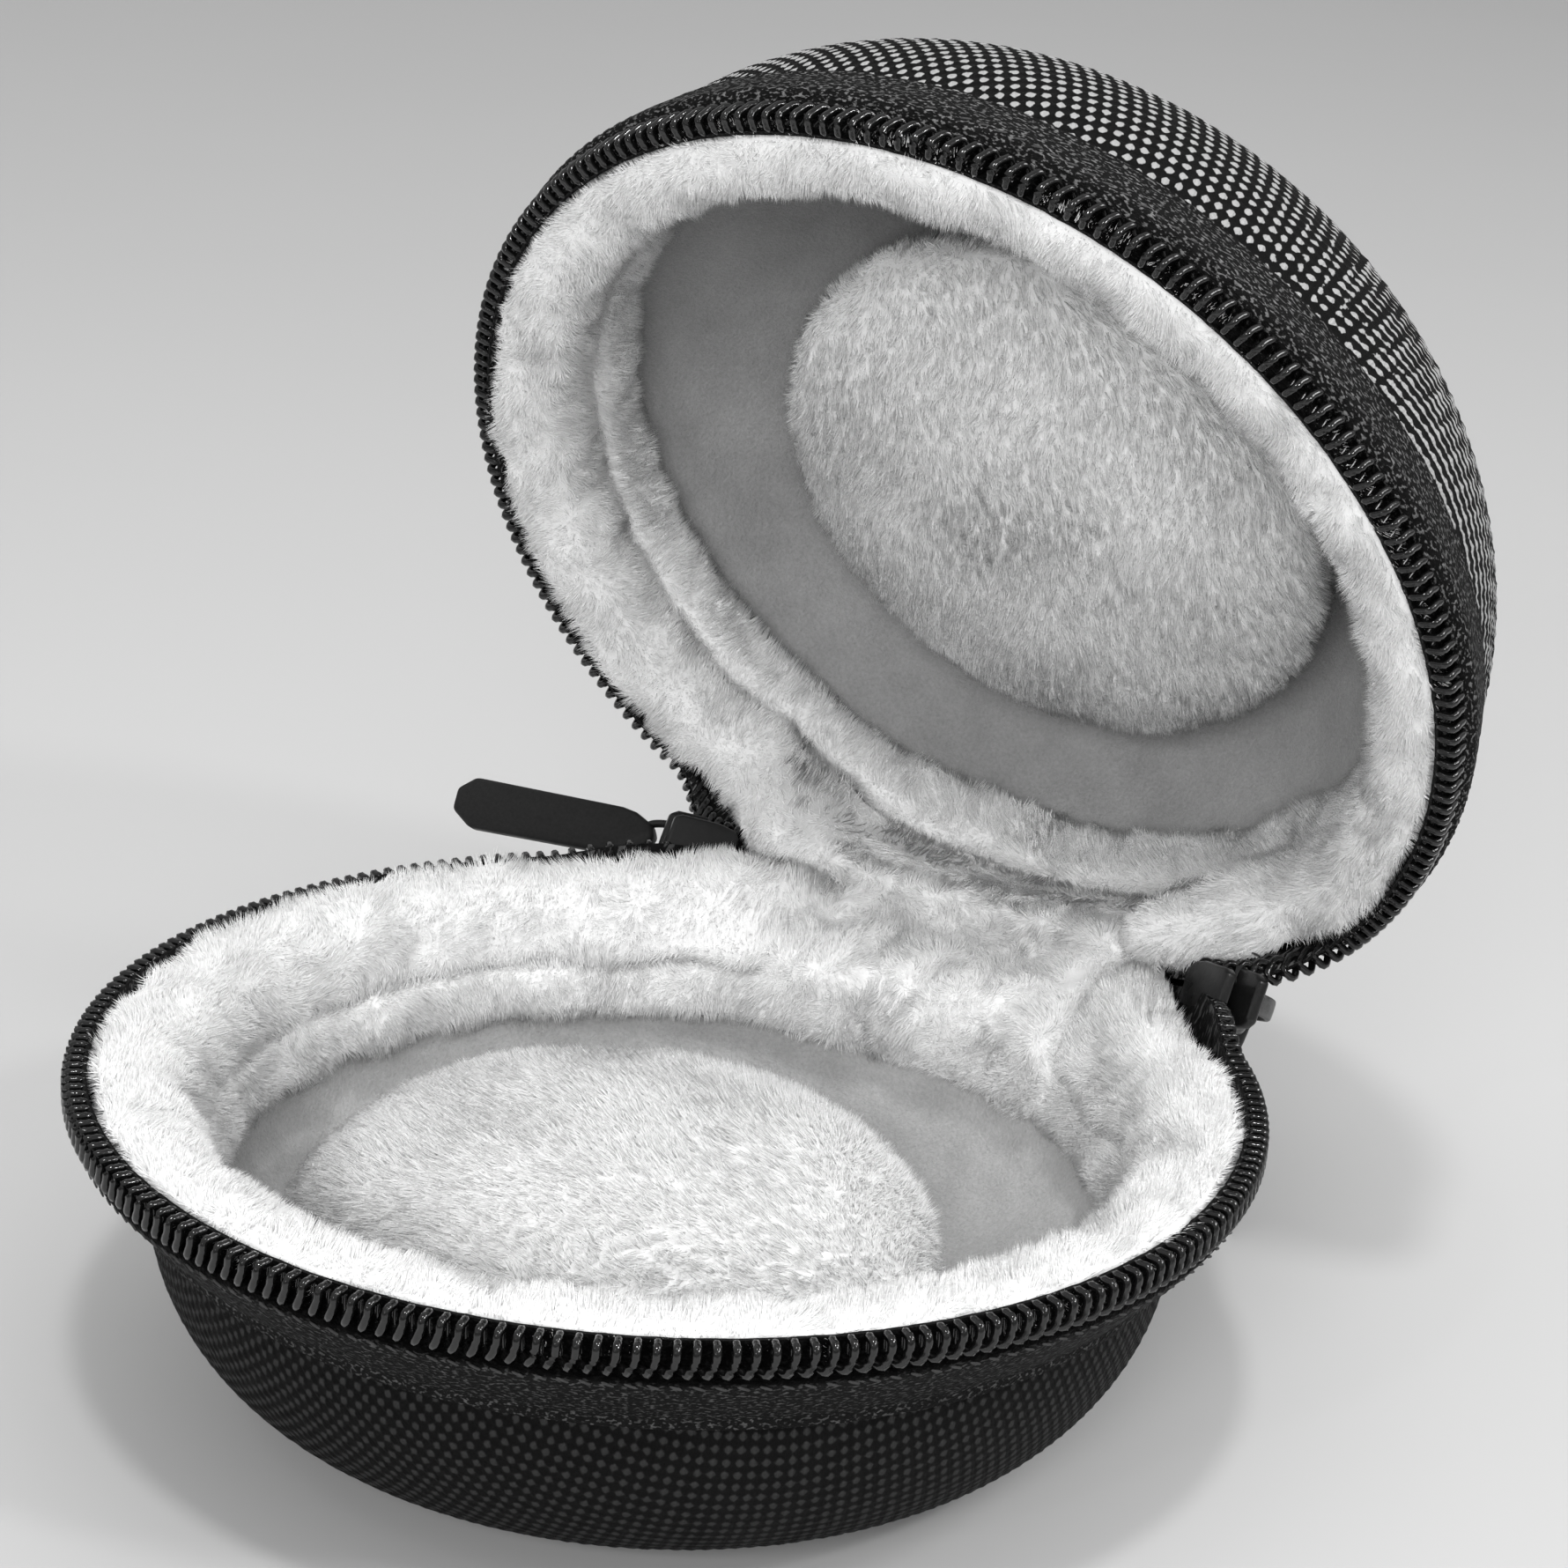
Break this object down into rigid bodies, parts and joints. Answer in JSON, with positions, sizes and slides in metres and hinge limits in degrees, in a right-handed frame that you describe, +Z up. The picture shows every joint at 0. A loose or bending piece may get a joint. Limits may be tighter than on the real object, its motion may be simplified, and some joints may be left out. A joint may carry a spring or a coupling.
{
  "type": "round headphone carrying case",
  "caption": "Round padded zip case for small headphones, shown open: bowl base, domed lid on a soft gusset, plush cushions and rims, two zip sliders with rubber pulls.",
  "frame": {"origin": "centre of the flat foot under the base, on the surface the case stands on", "axes": "+Z up, +X to the case's right as seen from its front, -Y towards the front where the case opens, +Y towards the hinge"},
  "size_m": [0.1329, 0.1648, 0.1356],
  "materials": {
    "base_fabric": "matte",
    "lid_fabric": "matte",
    "moulded_foam": "matte",
    "steel_plate": "satin",
    "short_pile": "matte",
    "zip_tape": "matte",
    "zip_coil": "gloss",
    "cord": "matte",
    "stitches": "matte",
    "plush": "matte",
    "stuffing": "matte",
    "black_metal": "gloss",
    "grey_metal": "satin",
    "stop": "matte",
    "pull_rubber": "satin"
  },
  "bodies": {
    "base": {"base_board": "steel_plate", "base_coil": "zip_coil", "base_coil_cord": "cord", "base_cover": "base_fabric", "base_cushion_foam": "stuffing", "base_cushion_plush": "plush", "base_lining": "short_pile", "base_rim_foam": "stuffing", "base_rim_plush": "plush", "base_shell": "moulded_foam", "base_stitching": "stitches", "base_tape": "zip_tape", "base_wall_band": "plush"},
    "lid": {"lid_coil": "zip_coil", "lid_coil_cord": "cord", "lid_cover": "lid_fabric", "lid_cushion_foam": "stuffing", "lid_cushion_plush": "plush", "lid_lining": "short_pile", "lid_rim_foam": "stuffing", "lid_rim_plush": "plush", "lid_shell": "moulded_foam", "lid_stitching": "stitches", "lid_tape": "zip_tape", "lid_wall_band": "plush"},
    "hinge_middle": {"hinge_strip": "zip_tape", "hinge_lining": "plush", "zip_stop_left": "stop", "zip_stop_right": "stop"},
    "slider_left": {"slider_left_body": "black_metal", "slider_left_bridge": "grey_metal"},
    "slider_right": {"slider_right_body": "black_metal", "slider_right_bridge": "grey_metal"},
    "pull_left": {"pull_left_link": "black_metal", "pull_left_tab": "pull_rubber"},
    "pull_right": {"pull_right_link": "black_metal", "pull_right_tab": "pull_rubber"}
  },
  "joints": [
    {"name": "lid_fold", "type": "hinge", "parent": "base", "child": "lid", "pos_m": [0, 0.0558, 0.0161], "axis": [-1, 0, 0], "range_deg": [-63.1, 12]},
    {"name": "hinge_middle_fold", "type": "hinge", "parent": "base", "child": "hinge_middle", "pos_m": [0, 0.0507, 0.0201], "axis": [-1, 0, 0], "range_deg": [-31.55, 6], "deforming": ["hinge_strip", "hinge_lining"]},
    {"name": "slider_left_travel", "type": "hinge", "parent": "hinge_middle", "child": "slider_left", "pos_m": [0, 0.01555, 0.05975], "axis": [0, 0.5232, 0.8522], "range_deg": [0, 138]},
    {"name": "slider_right_travel", "type": "hinge", "parent": "hinge_middle", "child": "slider_right", "pos_m": [0, 0.01555, 0.05975], "axis": [0, 0.5232, 0.8522], "range_deg": [-138, 0]},
    {"name": "pull_left_swing", "type": "hinge", "parent": "slider_left", "child": "pull_left", "pos_m": [-0.03784, 0.06059, 0.0321], "axis": [0, 0.5232, 0.8522], "range_deg": [-123, 16]},
    {"name": "pull_right_swing", "type": "hinge", "parent": "slider_right", "child": "pull_right", "pos_m": [0.03784, 0.06059, 0.0321], "axis": [0, 0.5232, 0.8522], "range_deg": [-140, 10]}
  ],
  "couplings": [
    {"joint": "hinge_middle_fold", "follows": "lid_fold", "ratio": 0.5}
  ]
}
